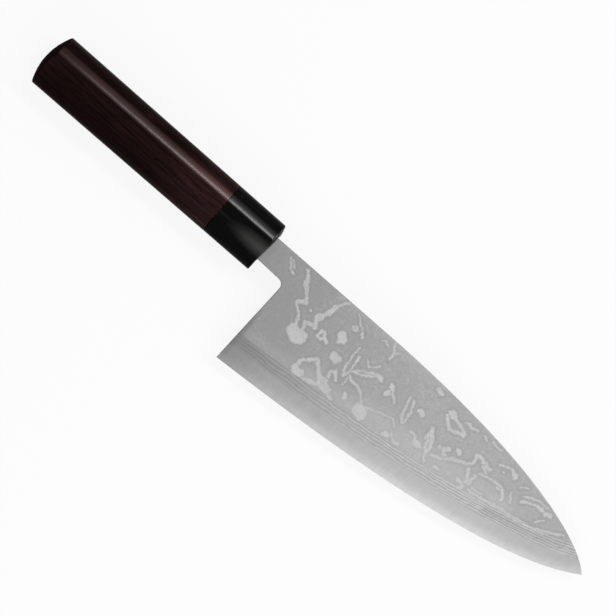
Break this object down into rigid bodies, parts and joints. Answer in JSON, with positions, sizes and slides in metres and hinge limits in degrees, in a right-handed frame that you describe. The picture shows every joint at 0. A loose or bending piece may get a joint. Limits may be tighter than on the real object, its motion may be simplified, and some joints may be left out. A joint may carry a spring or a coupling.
{
  "type": "deba knife",
  "caption": "Single-bevel deba fish knife: broad pattern-welded blade with a bare hard-steel edge, black horn ferrule and ridged dark wood handle.",
  "frame": {"origin": "middle of the knife's footprint, at its lowest point, with the blade lying on its back", "axes": "+X along the handle towards the tip, +Y towards the spine, +Z out of the bevelled front of the blade"},
  "size_m": [0.3152, 0.0618, 0.021],
  "materials": {
    "patterned_steel": "etched pattern-welded soft steel, matt grey with lighter layers",
    "hard_steel": "satin hard steel, paler towards the edge",
    "horn": "polished black water-buffalo horn",
    "rosewood": "very dark red-brown rosewood, oiled",
    "magnolia": "pale unfinished magnolia wood",
    "resin": "dark resin"
  },
  "bodies": {
    "root": {"blade_cladding": "patterned_steel", "blade_core": "hard_steel", "ferrule": "horn", "handle_body": "rosewood", "tang_dowel": "magnolia", "tang_seal": "resin"}
  },
  "joints": []
}
